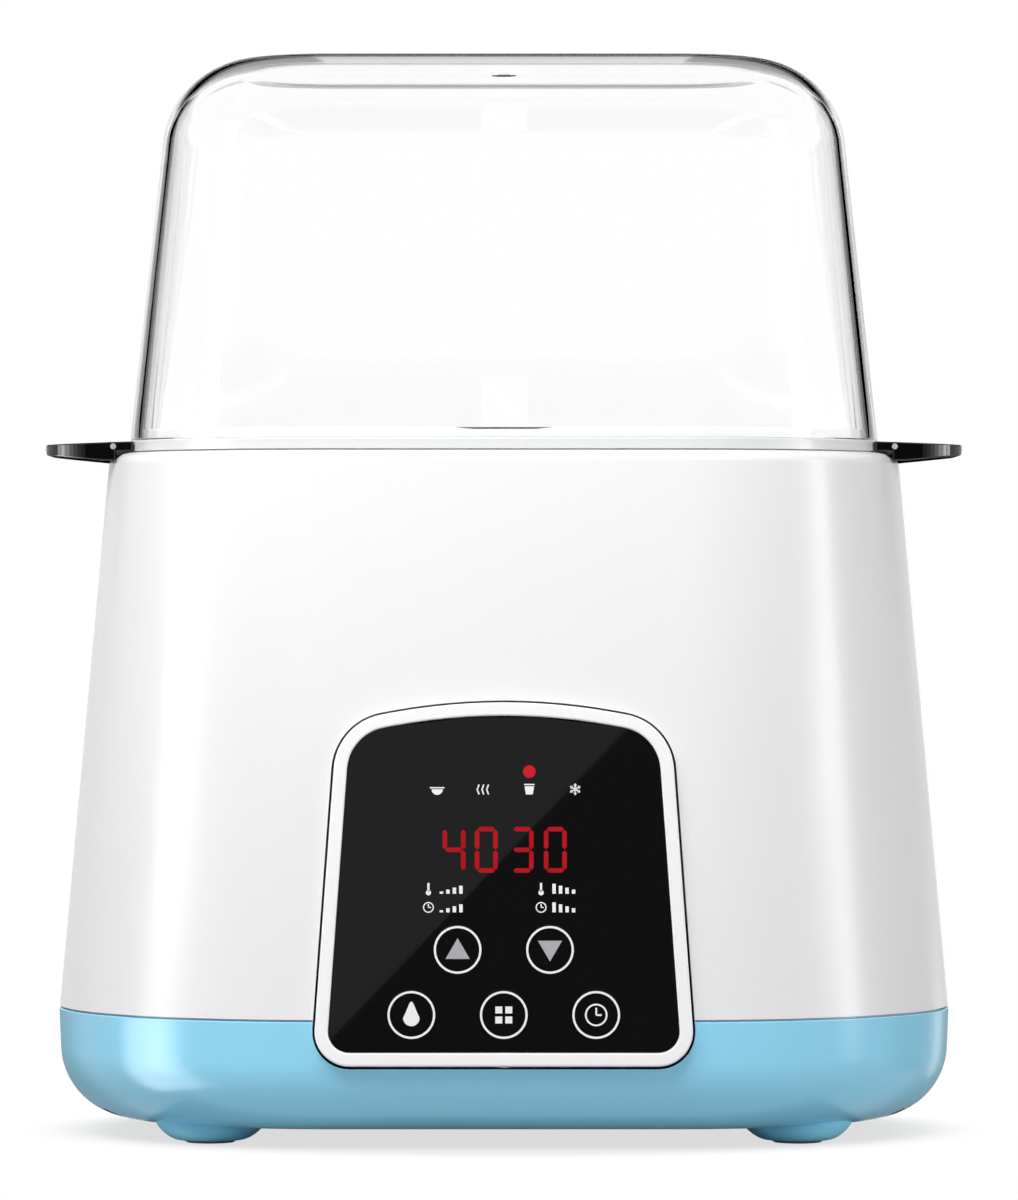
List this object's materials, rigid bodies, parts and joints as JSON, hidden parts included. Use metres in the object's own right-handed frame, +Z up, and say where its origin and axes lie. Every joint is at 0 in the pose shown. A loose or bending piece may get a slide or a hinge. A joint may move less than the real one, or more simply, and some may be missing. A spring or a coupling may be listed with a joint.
{
  "type": "baby bottle sterilizer",
  "caption": "Twin-bottle steam sterilizer and warmer: blue base, tapered white housing, black key panel with a red display, lift-out basket with black ears, and a clear lift-off dome.",
  "frame": {"origin": "on the table, under the middle of the body", "axes": "+Z up, the control panel faces -Y, +X to the right of a person facing the panel"},
  "size_m": [0.2196, 0.1452, 0.2572],
  "materials": {
    "blue_plastic": "light blue moulded plastic, satin gloss",
    "white_plastic": "white moulded plastic, gloss",
    "tank_plastic": "white heat-proof plastic, satin",
    "black_gloss": "black plastic, high gloss",
    "black_plastic": "black plastic",
    "clear_plastic": "clear plastic, polished",
    "frosted_plastic": "natural translucent plastic",
    "pad_rubber": "soft rubber, matt",
    "gland_rubber": "soft white rubber",
    "silicone": "red-brown silicone",
    "plate_metal": "coated cast plate, satin",
    "steel": "zinc-plated steel",
    "board_green": "glass-fibre board, green lacquer",
    "lamp": "diffused lamp body",
    "copper_yellow": "taped winding",
    "relay_blue": "moulded relay case",
    "sleeve_purple": "shrink sleeve",
    "block_green": "moulded block",
    "ceramic": "ceramic case"
  },
  "bodies": {
    "unit": {"base_shell": "blue_plastic", "foot_pads": "pad_rubber", "housing_screws": "steel", "outer_housing": "white_plastic", "water_tank": "tank_plastic", "heating_plate": "plate_metal", "plate_seal": "silicone", "heating_element": "steel", "clamp_ring": "steel", "clamp_screws": "steel", "thermostat": "black_plastic", "thermal_fuse": "ceramic", "temperature_sensor": "steel", "sensor_holder": "steel", "panel_bezel": "white_plastic", "panel_lens": "black_gloss", "control_board": "board_green", "board_screws": "steel", "led_display": "black_plastic", "indicator_lamps": "lamp", "power_board": "board_green", "power_screws": "steel", "transformer": "copper_yellow", "relay": "relay_blue", "capacitor": "sleeve_purple", "terminal_block": "block_green", "cord_gland": "gland_rubber", "key_switches": "black_plastic"},
    "basket": {"basket": "frosted_plastic", "basket_rim": "frosted_plastic", "left_ear": "black_gloss", "right_ear": "black_gloss", "ear_pins": "steel"},
    "lid": {"lid_dome": "clear_plastic"},
    "key_up": {"key_up": "black_gloss", "plunger_up": "lamp"},
    "key_down": {"key_down": "black_gloss", "plunger_down": "lamp"},
    "key_warm": {"key_warm": "black_gloss", "plunger_warm": "lamp"},
    "key_function": {"key_function": "black_gloss", "plunger_function": "lamp"},
    "key_timer": {"key_timer": "black_gloss", "plunger_timer": "lamp"}
  },
  "joints": [
    {"name": "basket_lift", "type": "slide", "parent": "unit", "child": "basket", "axis": [0, 0, 1], "range_m": [0, 0.13]},
    {"name": "lid_lift", "type": "slide", "parent": "basket", "child": "lid", "axis": [0, 0, 1], "range_m": [0, 0.12]},
    {"name": "key_up_press", "type": "slide", "parent": "unit", "child": "key_up", "axis": [0, 0.9959, -0.0903], "range_m": [0, 0.0006], "stiffness_N_per_m": 400},
    {"name": "key_down_press", "type": "slide", "parent": "unit", "child": "key_down", "axis": [0, 0.9959, -0.0903], "range_m": [0, 0.0006], "stiffness_N_per_m": 400},
    {"name": "key_warm_press", "type": "slide", "parent": "unit", "child": "key_warm", "axis": [0, 0.9959, -0.0903], "range_m": [0, 0.0006], "stiffness_N_per_m": 400},
    {"name": "key_function_press", "type": "slide", "parent": "unit", "child": "key_function", "axis": [0, 0.9959, -0.0903], "range_m": [0, 0.0006], "stiffness_N_per_m": 400},
    {"name": "key_timer_press", "type": "slide", "parent": "unit", "child": "key_timer", "axis": [0, 0.9959, -0.0903], "range_m": [0, 0.0006], "stiffness_N_per_m": 400}
  ]
}
